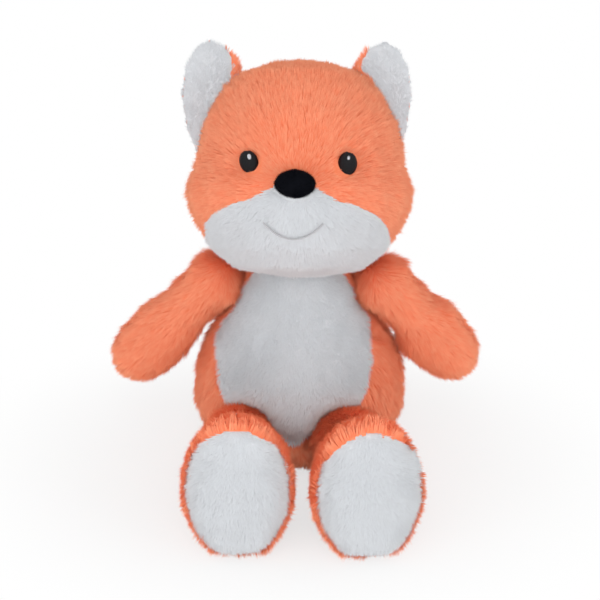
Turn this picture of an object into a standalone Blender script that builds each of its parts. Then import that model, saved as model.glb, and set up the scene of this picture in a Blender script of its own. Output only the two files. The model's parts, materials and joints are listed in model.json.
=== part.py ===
"""Seated plush fox: sewn covers of orange and white plush over fibre fillings.

Metres, +Z up. The fox sits on z = 0 and looks towards -Y. Each stuffed body is a loft
through named stations. Its cover lies between the loft and the same loft set in by the
cover's thickness, and its filling is the loft set in a little further. Limbs have round
roots that turn in round sockets of the torso, and the head turns on the torso's neck.
"""

from collections import namedtuple
from math import cos, pi, radians, sin, sqrt

import bmesh
import bpy
from mathutils import Matrix, Vector

MM = 0.001

# Cloth and seams
COVER_THICKNESS = 4.0 * MM
SEAM_GAP = 0.3 * MM
EAR_SEAM_GAP = 0.45 * MM
FILLING_GAP = 0.3 * MM
SEAT_GAP = 0.3 * MM
JOINT_CLEARANCE = 1.0 * MM
FLAT_DEPTH = 0.5 * MM

# Facets round each form
HEAD_SEGMENTS = 20
TORSO_SEGMENTS = 20
LIMB_SEGMENTS = 14
EAR_SEGMENTS = 12
BALL_SEGMENTS = 16
BALL_RINGS = 10
OUTLINE_STEPS = 3
MOUTH_SEGMENTS = 12

# Main sizes: from the seat to the neck's joint and on to the head's middle, and each
# limb from its joint to its far end
NECK_HEIGHT = 106.0 * MM
HEAD_RISE = 63.5 * MM
ARM_LENGTH = 79.0 * MM
LEG_LENGTH = 108.0 * MM
TAIL_LENGTH = 93.0 * MM
EAR_LENGTH = 72.0 * MM

# A section of a loft: its place along the axis, the offset of its middle towards +Y, and
# its reach from there to each side, to the front (-Y) and to the back (+Y)
Station = namedtuple("Station", "along middle half_width front back")


def station(along, middle, half_width, front, back):
    """A section whose five sizes are given in millimetres."""
    return Station(along * MM, middle * MM, half_width * MM, front * MM, back * MM)


def station_at(length, share, middle, half_width, front, behind):
    """A section at a share of its form's length."""
    return Station(length * share, middle * MM, half_width * MM, front * MM, behind * MM)


def station_before(end, back, middle, half_width, front, behind):
    """A section that lies back millimetres before the end of its form."""
    return Station(end - back * MM, middle * MM, half_width * MM, front * MM, behind * MM)


# Torso, from the seat upwards. Its neck is a dome about the joint of the head.
TORSO_CENTRE = Vector((2.4, 3.0, 0.0)) * MM
BODY_TURN = radians(-3.5)
TORSO_STATIONS = (
    Station(-FLAT_DEPTH, 0.0, 0.0, 0.0, 0.0),
    station(0.4, 0, 24, 21, 21),
    station(3, 0, 37, 32, 32),
    station_at(NECK_HEIGHT, 0.132, 1, 55, 45, 44),
    station_at(NECK_HEIGHT, 0.32, 3, 62, 50, 47),
    station_at(NECK_HEIGHT, 0.51, 5, 60.5, 48, 46),
    station_at(NECK_HEIGHT, 0.66, 8, 54, 43, 42),
    station_at(NECK_HEIGHT, 0.81, 10, 44, 37, 38),
    station_at(NECK_HEIGHT, 0.953, 12, 38, 32, 33),
)
NECK_PIVOT = Vector((0.0, 13.0 * MM, NECK_HEIGHT))
NECK_RADIUS = 31.0 * MM
NECK_DOME_ANGLES = (8.0, 30.0, 52.0, 72.0, 90.0)
NECK_RANGE = (radians(-3.0), radians(12.0))
BELLY_SEAM_BACK = -2.0 * MM
BELLY_SHIFT = -2.0 * MM
BELLY_OUTLINE = (
    (0, 134), (22, 127), (33, 112), (40.5, 94), (44.3, 76), (43.8, 60), (39, 46), (30, 36), (16, 28.5), (0, 26),
)

# Head, from the chin upwards, about its own centre
HEAD_CENTRE = Vector((3.1 * MM, 8.0 * MM, NECK_HEIGHT + HEAD_RISE))
HEAD_PITCH = radians(-18.0)
HEAD_STATIONS = (
    station(-61, -4, 0, 0, 0),
    station(-55, -4, 36, 32, 28),
    station(-44, -2, 50, 45, 38),
    station(-31, 0, 57.5, 54, 44),
    station(-19, 0, 62.5, 57, 48),
    station(-9, 0, 63.5, 55, 49.5),
    station(0, 0, 59.5, 51, 50.5),
    station(12, 0, 56, 46.5, 51),
    station(26, 0, 53, 43, 49),
    station(41, 0, 45, 36, 42),
    station(52, 0, 34.5, 28.5, 32.5),
    station(58.5, 0, 19, 15.5, 18),
    station(61, 0, 0, 0, 0),
)
HEAD_SEAM_BACK = 4.0 * MM
MUZZLE_SEAM_BACK = 0.0 * MM
MUZZLE_OUTLINE = (
    (0, -10), (12, -12), (21, -16.5), (35, -21.5), (46, -27), (51, -36), (49, -48), (38, -62), (0, -74),
)

# Features of the face, in the head's own frame
FACE_SHIFT = 1.4 * MM
EYE_CENTRE = Vector((26.5, 0.0, 2.0)) * MM
EYE_HALF_WIDTH = 5.0 * MM
EYE_HALF_HEIGHT = 6.2 * MM
EYE_TILT = radians(10.0)
EYE_THICKNESS = 1.4 * MM
GLINT_OFFSET = Vector((0.5, 0.0, 2.8)) * MM
GLINT_RADIUS = 1.5 * MM
GLINT_THICKNESS = 0.8 * MM
NOSE_CENTRE = Vector((0.8, -55.5, -9.6)) * MM
NOSE_HALF_SIZES = Vector((11.4, 7.5, 8.0)) * MM
MOUTH_HALF_SPAN = 15.9 * MM
MOUTH_END_HEIGHT = -30.3 * MM
MOUTH_SAG = 8.5 * MM
MOUTH_THREAD_RADIUS = 0.6 * MM

# Ears, in the head's own frame, from the root upwards
EAR_ROOT_HEIGHT = 2.0 * MM
EAR_ROOT_BACK = 3.5 * MM
EAR_ROOT_OUT = {"left": 45.0 * MM, "right": 40.5 * MM}
EAR_LEAN = {"left": radians(6.5), "right": radians(5.0)}
EAR_CUP = 6.0 * MM
EAR_STATIONS = (
    station(-6, 0, 0, 0, 0),
    station(4, 0, 12, 2.5, 2.5),
    station(22, 0, 18, 3.3, 3.3),
    station_before(EAR_LENGTH, 30, 0, 19, 3.5, 3.5),
    station_before(EAR_LENGTH, 15, 0, 15.5, 3.3, 3.3),
    station_before(EAR_LENGTH, 5, 0, 9, 2.5, 2.5),
    station_before(EAR_LENGTH, 0, 0, 0, 0, 0),
)

# Round root of a limb, as angles about its joint
ROOT_ANGLES = (-90.0, -65.0, -40.0, -15.0)

# Arms, from the shoulder outwards. One is bunched up a little, and so is shorter and fuller.
SHOULDER_DROP = 3.5 * MM
SHOULDER = Vector((50.5 * MM, 6.0 * MM, NECK_HEIGHT - SHOULDER_DROP))
ARM_ROOT_RADIUS = 18.5 * MM
ARM_DROP = {"left": radians(47.0), "right": radians(47.5)}
ARM_BUNCHED = {"left": 0.0 * MM, "right": 8.0 * MM}
ARM_FULLER = {"left": 0.8 * MM, "right": 2.0 * MM}
ARM_RANGE = (radians(-3.0), radians(40.0))

# Legs, from the hip to the sole
HIP = Vector((30.0, -38.0, 22.5)) * MM
LEG_ROOT_RADIUS = 22.0 * MM
LEG_SPLAY = {"left": radians(-0.5), "right": radians(5.0)}
LEG_PITCH = radians(6.0)
LEG_RANGE = (radians(-3.0), radians(45.0))
LEG_STATIONS = (
    station(8, 0, 19.5, 20, 18),
    station(24, 0, 21.5, 22.5, 17),
    station(48, 0, 24.5, 27, 20),
    station(68, 1, 27, 31, 34),
    station_before(LEG_LENGTH, 24, 3, 29.5, 35, 41),
    station_before(LEG_LENGTH, 12, 4.5, 29.5, 37.5, 42),
    station_before(LEG_LENGTH, 4, 4, 25.5, 33, 37),
    station_before(LEG_LENGTH, 0, 4, 0, 0, 0),
)
SOLE_DEPTH = 10.0 * MM
SOLE_HALF_WIDTH = 25.0 * MM
SOLE_HALF_HEIGHT = 34.5 * MM

# Tail, from its root backwards
TAIL_PIVOT = Vector((0.0, 49.0, 26.0)) * MM
TAIL_ROOT_RADIUS = 14.0 * MM
TAIL_RANGE = (radians(-25.0), radians(25.0))
TAIL_STATIONS = (
    station(6, 0, 12.5, 12.5, 12.5),
    station(22, 3, 14.5, 15, 16),
    station(50, 4, 22, 20, 22.5),
    station_before(TAIL_LENGTH, 22, 4, 19.5, 18, 20),
    station_before(TAIL_LENGTH, 7, 5, 11.5, 11, 12),
    station_before(TAIL_LENGTH, 0, 5, 0, 0, 0),
)
TAIL_TIP_LENGTH = 33.0 * MM

# A reach longer than the whole toy, for what is cut right through it
CUT_REACH = 330.0 * MM

# Points closer than this are one, and edges sharper than this stay sharp
WELD_DISTANCE = 0.001 * MM
OUTLINE_WELD_DISTANCE = 0.01 * MM
SHARP_ANGLE = radians(50.0)

PIVOT_DISPLAY_SIZE = 10.0 * MM

SIDES = {"left": -1.0, "right": 1.0}


def clear_scene():
    for item in list(bpy.data.objects):
        bpy.data.objects.remove(item)


def new_collection(name):
    collection = bpy.data.collections.new(name)
    bpy.context.scene.collection.children.link(collection)
    return collection


def plush_material(name, colour, roughness):
    material = bpy.data.materials.new(name)
    material.use_nodes = True
    shader = material.node_tree.nodes["Principled BSDF"]
    shader.inputs["Base Color"].default_value = (*colour, 1.0)
    shader.inputs["Roughness"].default_value = roughness
    shader.inputs["Metallic"].default_value = 0.0
    material.diffuse_color = (*colour, 1.0)
    return material


def orange_plush(name):
    return plush_material(name, (0.87, 0.22, 0.10), 0.85)


def white_plush(name):
    return plush_material(name, (0.78, 0.76, 0.78), 0.85)


def black_velvet(name):
    return plush_material(name, (0.012, 0.013, 0.018), 0.7)


def dark_thread(name):
    return plush_material(name, (0.02, 0.02, 0.025), 0.55)


def grey_thread(name):
    return plush_material(name, (0.35, 0.34, 0.35), 0.6)


def fibre_filling(name):
    return plush_material(name, (0.85, 0.85, 0.83), 0.95)


def object_from(bm, name):
    """A working object in the cutters' collection, hidden from renders."""
    mesh = bpy.data.meshes.new(name)
    bm.to_mesh(mesh)
    bm.free()
    item = bpy.data.objects.new(name, mesh)
    cutters.objects.link(item)
    item.hide_render = True
    item.display_type = "WIRE"
    return item


def combine(base, other, operation):
    """Join, cut or intersect base with other, and drop other."""
    modifier = base.modifiers.new(operation.title(), "BOOLEAN")
    modifier.operation = operation
    modifier.solver = "EXACT"
    modifier.object = other
    bpy.context.view_layer.update()
    graph = bpy.context.evaluated_depsgraph_get()
    result = bpy.data.meshes.new_from_object(base.evaluated_get(graph))
    base.modifiers.clear()
    base.data = result
    bpy.data.objects.remove(other)
    return base


def duplicate(item):
    copy = item.copy()
    copy.data = item.data.copy()
    cutters.objects.link(copy)
    return copy


def section_point(section, angle):
    reach = section.front if sin(angle) > 0.0 else section.back
    return Vector((
        section.half_width * cos(angle),
        section.middle - reach * sin(angle),
        section.along,
    ))


def loft(name, stations, segments, inset, placement, bend=None):
    """A closed form through the stations, set in by inset, or grown where it is negative."""
    bm = bmesh.new()
    first = bm.verts.new((0.0, stations[0].middle, stations[0].along))
    last = bm.verts.new((0.0, stations[-1].middle, stations[-1].along))
    rings = []
    for section in stations[1:-1]:
        angles = (2.0 * pi * (index + 0.5) / segments for index in range(segments))
        rings.append([bm.verts.new(section_point(section, angle)) for angle in angles])
    for index in range(segments):
        after = (index + 1) % segments
        bm.faces.new((first, rings[0][index], rings[0][after]))
        bm.faces.new((last, rings[-1][after], rings[-1][index]))
        for lower, upper in zip(rings, rings[1:]):
            bm.faces.new((lower[index], upper[index], upper[after]))
            bm.faces.new((lower[index], upper[after], lower[after]))
    if bend:
        for vertex in bm.verts:
            vertex.co = bend(vertex.co)
    bmesh.ops.recalc_face_normals(bm, faces=bm.faces)
    bm.normal_update()
    moves = [(vertex, vertex.normal * inset) for vertex in bm.verts]
    for vertex, move in moves:
        vertex.co -= move
    bm.transform(placement)
    return object_from(bm, name)


def ball(centre, radius):
    bm = bmesh.new()
    bmesh.ops.create_uvsphere(bm, u_segments=BALL_SEGMENTS, v_segments=BALL_RINGS, radius=radius)
    bm.transform(Matrix.Translation(centre))
    return object_from(bm, "ball")


def ellipsoid(centre, half_sizes, placement):
    bm = bmesh.new()
    bmesh.ops.create_uvsphere(bm, u_segments=BALL_SEGMENTS, v_segments=BALL_RINGS, radius=1.0)
    bm.transform(placement @ Matrix.Translation(centre) @ Matrix.Diagonal((*half_sizes, 1.0)))
    return object_from(bm, "ellipsoid")


def sliced(item, axis, start, keep, placement=Matrix()):
    """A copy of what a solid has on one side of a plane square to the axis, its cut closed."""
    normal = Vector((0.0, 0.0, 0.0))
    normal[axis] = 1.0
    point = placement @ (normal * start)
    bm = bmesh.new()
    bm.from_mesh(item.data)
    bmesh.ops.bisect_plane(
        bm,
        geom=[*bm.verts, *bm.edges, *bm.faces],
        plane_co=point,
        plane_no=placement.to_3x3() @ normal * keep,
        clear_inner=True,
    )
    bmesh.ops.holes_fill(bm, edges=[edge for edge in bm.edges if edge.is_boundary])
    bmesh.ops.recalc_face_normals(bm, faces=bm.faces)
    return object_from(bm, item.name)


def halves(item, axis, start, placement):
    """The solid's two sides of a seam square to the axis."""
    below = sliced(item, axis, start - SEAM_GAP / 2.0, -1.0, placement)
    above = sliced(item, axis, start + SEAM_GAP / 2.0, 1.0, placement)
    return below, above


def elliptic_rod(half_width, half_height, near, far, placement):
    """A rod along Y from near to far, with an elliptic section in X and Z."""
    bm = bmesh.new()
    bmesh.ops.create_cone(
        bm, cap_ends=True, segments=BALL_SEGMENTS, radius1=1.0, radius2=1.0, depth=1.0
    )
    turn = Matrix.Rotation(pi / 2.0, 4, "X")
    middle = Matrix.Translation((0.0, (near + far) / 2.0, 0.0))
    size = Matrix.Diagonal((half_width, far - near, half_height, 1.0))
    bm.transform(placement @ middle @ size @ turn)
    return object_from(bm, "rod")


def outline_block(outline, back, grow, placement):
    """The mirrored outline in X and Z, drawn smooth, from the front up to back."""
    right = [Vector((x, z, 0.0)) * MM for x, z in outline]
    left = [Vector((-point.x, point.y, 0.0)) for point in right[-2:0:-1]]
    data = bpy.data.curves.new("outline", "CURVE")
    data.dimensions = "2D"
    data.fill_mode = "BOTH"
    data.resolution_u = OUTLINE_STEPS
    data.offset = grow
    spline = data.splines.new("BEZIER")
    spline.bezier_points.add(len(right) + len(left) - 1)
    for knot, point in zip(spline.bezier_points, right + left):
        knot.co = point
        knot.handle_left_type = "AUTO"
        knot.handle_right_type = "AUTO"
    spline.use_cyclic_u = True
    depth = back + CUT_REACH
    data.extrude = depth / 2.0
    curve = bpy.data.objects.new("outline", data)
    cutters.objects.link(curve)
    bpy.context.view_layer.update()
    graph = bpy.context.evaluated_depsgraph_get()
    bm = bmesh.new()
    bm.from_mesh(curve.evaluated_get(graph).to_mesh())
    bmesh.ops.remove_doubles(bm, verts=bm.verts, dist=OUTLINE_WELD_DISTANCE)
    bmesh.ops.recalc_face_normals(bm, faces=bm.faces)
    bpy.data.objects.remove(curve)
    turn = Matrix.Rotation(pi / 2.0, 4, "X")
    middle = Matrix.Translation((0.0, back - depth / 2.0, 0.0))
    bm.transform(placement @ middle @ turn)
    return object_from(bm, "outline")


def finish(item, name, material, pivot):
    """Give a solid its node name, material and origin, and put it in the toy."""
    bm = bmesh.new()
    bm.from_mesh(item.data)
    bmesh.ops.remove_doubles(bm, verts=bm.verts, dist=WELD_DISTANCE)
    bmesh.ops.dissolve_degenerate(bm, edges=bm.edges, dist=WELD_DISTANCE)
    bm.transform(Matrix.Translation(-pivot.location))
    bm.to_mesh(item.data)
    bm.free()
    item.name = name
    item.data.name = name
    item.data.materials.clear()
    item.data.materials.append(material(name + "_cloth"))
    item.data.shade_smooth()
    item.data.set_sharp_from_angle(angle=SHARP_ANGLE)
    cutters.objects.unlink(item)
    toy.objects.link(item)
    item.hide_render = False
    item.display_type = "TEXTURED"
    item.parent = pivot
    return item


def new_pivot(name, location):
    pivot = bpy.data.objects.new(name, None)
    pivot.location = location
    pivot.empty_display_size = PIVOT_DISPLAY_SIZE
    toy.objects.link(pivot)
    return pivot


def round_sections(radius, angles, along=0.0, middle=0.0):
    """Sections of a ball, at angles up from its widest one."""
    sections = []
    for angle in angles:
        reach = radius * cos(radians(angle)) if abs(angle) < 90.0 else 0.0
        sections.append(Station(along + radius * sin(radians(angle)), middle, reach, reach, reach))
    return sections


def body_point(point, sign=1.0):
    """A point of the torso's own frame in the world, on the given side."""
    return TORSO_PLACE @ Vector((sign * point.x, point.y, point.z))


TURN = Matrix.Rotation(BODY_TURN, 4, "Z")
TORSO_PLACE = Matrix.Translation(TORSO_CENTRE) @ TURN
BELLY_PLACE = TORSO_PLACE @ Matrix.Translation((BELLY_SHIFT, 0.0, 0.0))
HEAD_PLACE = Matrix.Translation(HEAD_CENTRE) @ TURN @ Matrix.Rotation(HEAD_PITCH, 4, "X")

# One stuffed limb: its sections, where it lies and the joint at its round root
Limb = namedtuple("Limb", "name stations placement pivot root_radius")


def arm_stations(length, fuller):
    middle = station_at(length, 0.48, 0, 19, 18, 18)
    return (
        station(7, 0, 16, 17, 17),
        station(20, 0, 15.5, 17.5, 17.5),
        middle._replace(half_width=middle.half_width + fuller),
        station_before(length, 24, 0, 19.5, 18, 18),
        station_before(length, 11, 0, 16.5, 15, 15),
        station_before(length, 3, 0, 10, 9, 9),
        station_before(length, 0, 0, 0, 0, 0),
    )


def arm(side):
    sign = SIDES[side]
    pivot = body_point(SHOULDER, sign)
    root = round_sections(ARM_ROOT_RADIUS, ROOT_ANGLES)
    stations = [*root, *arm_stations(ARM_LENGTH - ARM_BUNCHED[side], ARM_FULLER[side])]
    lie = Matrix.Rotation(sign * (pi / 2.0 + ARM_DROP[side]), 4, "Y")
    return Limb(f"arm_{side}", stations, Matrix.Translation(pivot) @ TURN @ lie, pivot, ARM_ROOT_RADIUS)


def leg(side):
    sign = SIDES[side]
    pivot = body_point(HIP, sign)
    stations = [*round_sections(LEG_ROOT_RADIUS, ROOT_ANGLES), *LEG_STATIONS]
    splay = Matrix.Rotation(sign * LEG_SPLAY[side], 4, "Z")
    lie = splay @ Matrix.Rotation(pi / 2.0 - LEG_PITCH, 4, "X")
    return Limb(f"leg_{side}", stations, Matrix.Translation(pivot) @ lie, pivot, LEG_ROOT_RADIUS)


def tail():
    pivot = body_point(TAIL_PIVOT)
    stations = [*round_sections(TAIL_ROOT_RADIUS, ROOT_ANGLES), *TAIL_STATIONS]
    lie = TURN @ Matrix.Rotation(-pi / 2.0, 4, "X")
    return Limb("tail", stations, Matrix.Translation(pivot) @ lie, pivot, TAIL_ROOT_RADIUS)


def limb_form(limb, inset):
    return loft(limb.name, limb.stations, LIMB_SEGMENTS, inset, limb.placement)


def limb_outside(limb):
    """The limb's whole outside, flat where it lies on the floor."""
    return sliced(limb_form(limb, 0.0), 2, 0.0, 1.0)


def limb_panel(solid, limb):
    """Hollow a piece of the limb's outside, so that only its cover is left."""
    return combine(solid, limb_form(limb, COVER_THICKNESS), "DIFFERENCE")


def torso_form(inset):
    neck = round_sections(NECK_RADIUS, NECK_DOME_ANGLES, NECK_PIVOT.z, NECK_PIVOT.y)
    return loft("torso", [*TORSO_STATIONS, *neck], TORSO_SEGMENTS, inset, TORSO_PLACE)


def with_sockets(solid, limbs):
    """Open a piece of the torso for the round root of each limb that reaches it."""
    for limb in limbs:
        combine(solid, ball(limb.pivot, limb.root_radius + JOINT_CLEARANCE), "DIFFERENCE")
    return solid


def with_neck_socket(solid):
    """Open a piece of the head for the torso's neck."""
    return combine(solid, ball(body_point(NECK_PIVOT), NECK_RADIUS + JOINT_CLEARANCE), "DIFFERENCE")


def head_form(inset):
    """The whole head's loft, for what is seated on it or let into it."""
    return loft("head_form", HEAD_STATIONS, HEAD_SEGMENTS, inset, HEAD_PLACE)


def face_patch(centre, half_width, half_height, tilt, outside, inside):
    """A patch that follows the face, from outside above its surface to inside below it."""
    placement = HEAD_PLACE @ Matrix.Translation(centre) @ Matrix.Rotation(tilt, 4, "Y")
    patch = elliptic_rod(half_width, half_height, -CUT_REACH / 2.0, 0.0, placement)
    combine(patch, head_form(-outside), "INTERSECT")
    return combine(patch, head_form(inside), "DIFFERENCE")


def eye_centre(sign):
    return Vector((FACE_SHIFT + sign * EYE_CENTRE.x, EYE_CENTRE.y, EYE_CENTRE.z))


def add_eyes(face, pivot):
    """Let each stitched eye into a pocket of the face and seat its glint on it."""
    for side, sign in SIDES.items():
        tilt = sign * EYE_TILT
        pocket = face_patch(
            eye_centre(sign), EYE_HALF_WIDTH + SEAT_GAP, EYE_HALF_HEIGHT + SEAT_GAP, tilt,
            GLINT_THICKNESS, EYE_THICKNESS,
        )
        combine(face, pocket, "DIFFERENCE")
        eye = face_patch(
            eye_centre(sign), EYE_HALF_WIDTH, EYE_HALF_HEIGHT, tilt, 0.0, EYE_THICKNESS - SEAT_GAP
        )
        finish(eye, f"eye_{side}", dark_thread, pivot)
        glint = face_patch(
            eye_centre(sign) + GLINT_OFFSET, GLINT_RADIUS, GLINT_RADIUS, 0.0,
            SEAT_GAP + GLINT_THICKNESS, -SEAT_GAP,
        )
        finish(glint, f"eye_glint_{side}", grey_thread, pivot)


def add_nose(pivot):
    nose = ellipsoid(NOSE_CENTRE, NOSE_HALF_SIZES, HEAD_PLACE)
    combine(nose, head_form(-SEAT_GAP), "DIFFERENCE")
    finish(nose, "nose", black_velvet, pivot)


def head_section_at(height):
    """The head's section at a height, between the stations on either side of it."""
    pairs = zip(HEAD_STATIONS, HEAD_STATIONS[1:])
    lower, upper = next(pair for pair in pairs if pair[1].along >= height)
    share = (height - lower.along) / (upper.along - lower.along)
    return Station(*(start + (end - start) * share for start, end in zip(lower, upper)))


def face_point(x, height, outside):
    """A point in front of the face, by outside, in the head's own frame."""
    section = head_section_at(height)
    depth = section.front * sqrt(1.0 - (x / section.half_width) ** 2)
    return Vector((x, section.middle - depth - outside, height))


def add_mouth(pivot):
    """The mouth is one stitched thread along an arc of the muzzle."""
    data = bpy.data.curves.new("mouth_thread", "CURVE")
    data.dimensions = "3D"
    data.bevel_depth = MOUTH_THREAD_RADIUS
    data.bevel_resolution = 1
    data.use_fill_caps = True
    spline = data.splines.new("POLY")
    spline.points.add(MOUTH_SEGMENTS)
    for index, knot in enumerate(spline.points):
        share = 2.0 * index / MOUTH_SEGMENTS - 1.0
        height = MOUTH_END_HEIGHT - MOUTH_SAG * (1.0 - share * share)
        point = face_point(share * MOUTH_HALF_SPAN, height, MOUTH_THREAD_RADIUS + SEAT_GAP)
        knot.co = (*(HEAD_PLACE @ point - pivot.location), 1.0)
    data.materials.append(grey_thread("mouth_thread_cloth"))
    mouth = bpy.data.objects.new("mouth_thread", data)
    mouth.parent = pivot
    toy.objects.link(mouth)


def ear_bend(point):
    """Bring the ear's two edges forward, so that its front is hollow."""
    widest = max(section.half_width for section in EAR_STATIONS)
    return Vector((point.x, point.y - EAR_CUP * (point.x / widest) ** 2, point.z))


def ear_layer(placement, front, back):
    """One layer of the ear: the half of its loft on the side of its seam that is asked for."""
    shift = (back - front) * EAR_SEAM_GAP / 2.0
    stations = [
        Station(item.along, item.middle + shift, item.half_width, item.front * front, item.back * back)
        for item in EAR_STATIONS
    ]
    layer = loft("ear_layer", stations, EAR_SEGMENTS, 0.0, placement, ear_bend)
    return combine(layer, head_form(-SEAT_GAP), "DIFFERENCE")


def add_ears(pivot):
    for side, sign in SIDES.items():
        root = Matrix.Translation((sign * EAR_ROOT_OUT[side], EAR_ROOT_BACK, EAR_ROOT_HEIGHT))
        placement = HEAD_PLACE @ root @ Matrix.Rotation(sign * EAR_LEAN[side], 4, "Y")
        finish(ear_layer(placement, 1.0, 0.0), f"ear_{side}_front", white_plush, pivot)
        finish(ear_layer(placement, 0.0, 1.0), f"ear_{side}_back", orange_plush, pivot)


def head_panel(solid):
    """Hollow a piece of the head's outside and open it for the neck."""
    combine(solid, head_form(COVER_THICKNESS), "DIFFERENCE")
    return with_neck_socket(solid)


def add_head(pivot):
    outside = head_form(0.0)
    front, back = halves(outside, 1, HEAD_SEAM_BACK, HEAD_PLACE)
    back_left, back_right = halves(back, 0, 0.0, HEAD_PLACE)
    finish(head_panel(back_left), "head_back_left", orange_plush, pivot)
    finish(head_panel(back_right), "head_back_right", orange_plush, pivot)
    muzzle = outline_block(MUZZLE_OUTLINE, MUZZLE_SEAM_BACK, 0.0, HEAD_PLACE)
    combine(muzzle, head_form(0.0), "INTERSECT")
    finish(head_panel(muzzle), "muzzle_panel", white_plush, pivot)
    around_muzzle = outline_block(MUZZLE_OUTLINE, MUZZLE_SEAM_BACK + SEAM_GAP, SEAM_GAP, HEAD_PLACE)
    face = head_panel(combine(front, around_muzzle, "DIFFERENCE"))
    add_eyes(face, pivot)
    finish(face, "face_cover", orange_plush, pivot)
    filling = with_neck_socket(head_form(COVER_THICKNESS + FILLING_GAP))
    finish(filling, "head_filling", fibre_filling, pivot)
    add_nose(pivot)
    add_mouth(pivot)
    add_ears(pivot)


def torso_panel(solid, limbs):
    """Hollow a piece of the torso's outside and open it for the limbs."""
    combine(solid, torso_form(COVER_THICKNESS), "DIFFERENCE")
    return with_sockets(solid, limbs)


def add_torso(pivot, limbs):
    outside = sliced(torso_form(0.0), 2, 0.0, 1.0)
    belly = outline_block(BELLY_OUTLINE, BELLY_SEAM_BACK, 0.0, BELLY_PLACE)
    combine(belly, torso_form(0.0), "INTERSECT")
    finish(torso_panel(belly, limbs[:4]), "belly_panel", white_plush, pivot)
    sides = halves(outside, 0, 0.0, TORSO_PLACE)
    for index, side in enumerate(SIDES):
        half = sides[index]
        around = outline_block(BELLY_OUTLINE, BELLY_SEAM_BACK + SEAM_GAP, SEAM_GAP, BELLY_PLACE)
        combine(half, around, "DIFFERENCE")
        near = [limbs[index], limbs[2 + index], limbs[4]]
        finish(torso_panel(half, near), f"torso_{side}", orange_plush, pivot)
    filling = with_sockets(torso_form(COVER_THICKNESS + FILLING_GAP), limbs)
    finish(filling, "torso_filling", fibre_filling, pivot)


def add_filling(limb, pivot):
    filling = limb_form(limb, COVER_THICKNESS + FILLING_GAP)
    finish(filling, limb.name + "_filling", fibre_filling, pivot)


def add_arm(limb):
    pivot = new_pivot(limb.name + "_joint", limb.pivot)
    front, back = halves(limb_form(limb, 0.0), 1, 0.0, limb.placement)
    finish(limb_panel(front, limb), limb.name + "_front", orange_plush, pivot)
    finish(limb_panel(back, limb), limb.name + "_back", orange_plush, pivot)
    add_filling(limb, pivot)


def sole_rod(limb, grow):
    """A rod along the leg whose section is the sole's outline, from where the sole starts."""
    along = Matrix.Translation((0.0, LEG_STATIONS[-1].middle, 0.0)) @ Matrix.Rotation(pi / 2.0, 4, "X")
    near = LEG_LENGTH - SOLE_DEPTH - grow
    far = LEG_LENGTH + COVER_THICKNESS
    return elliptic_rod(
        SOLE_HALF_WIDTH + grow, SOLE_HALF_HEIGHT + grow, near, far, limb.placement @ along
    )


def add_leg(limb):
    pivot = new_pivot(limb.name + "_joint", limb.pivot)
    outside = limb_outside(limb)
    sole = sole_rod(limb, 0.0)
    combine(sole, duplicate(outside), "INTERSECT")
    finish(limb_panel(sole, limb), limb.name.replace("leg", "sole"), white_plush, pivot)
    names = ("outer", "inner") if limb.name.endswith("left") else ("inner", "outer")
    for half, name in zip(halves(outside, 0, 0.0, limb.placement), names):
        combine(half, sole_rod(limb, SEAM_GAP), "DIFFERENCE")
        finish(limb_panel(half, limb), f"{limb.name}_{name}", orange_plush, pivot)
    add_filling(limb, pivot)


def add_tail(limb):
    pivot = new_pivot(limb.name + "_joint", limb.pivot)
    root, tip = halves(limb_outside(limb), 2, TAIL_LENGTH - TAIL_TIP_LENGTH, limb.placement)
    finish(limb_panel(root, limb), "tail_cover", orange_plush, pivot)
    finish(limb_panel(tip, limb), "tail_tip", white_plush, pivot)
    add_filling(limb, pivot)


def clear_cutters():
    for item in list(cutters.objects):
        bpy.data.objects.remove(item)


def build():
    limbs = [arm("left"), arm("right"), leg("left"), leg("right"), tail()]
    seat = new_pivot("torso_base", TORSO_CENTRE)
    add_torso(seat, limbs)
    add_head(new_pivot("neck_joint", body_point(NECK_PIVOT)))
    for limb in limbs[:2]:
        add_arm(limb)
    for limb in limbs[2:4]:
        add_leg(limb)
    add_tail(limbs[4])


clear_scene()
toy = new_collection("plush_fox")
cutters = new_collection("cutters")
build()
clear_cutters()
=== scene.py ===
"""Seated plush fox, dressed in its fabrics.

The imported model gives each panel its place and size. Each stuffed body gets a smooth skin a
little inside its covers, which swells between its seams as filling does. Each cover is then a
thin backing cut from that skin, with a pile of fibres that grows out of it and is combed along
the body. Stitched eyes, a velvet nose and a twisted mouth thread finish the face.
"""

import json
from collections import namedtuple
from math import cos, pi, radians, sin

import bmesh
import bpy
import numpy as np
from mathutils import Matrix, Vector
from mathutils.bvhtree import BVHTree
from mathutils.kdtree import KDTree

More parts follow.
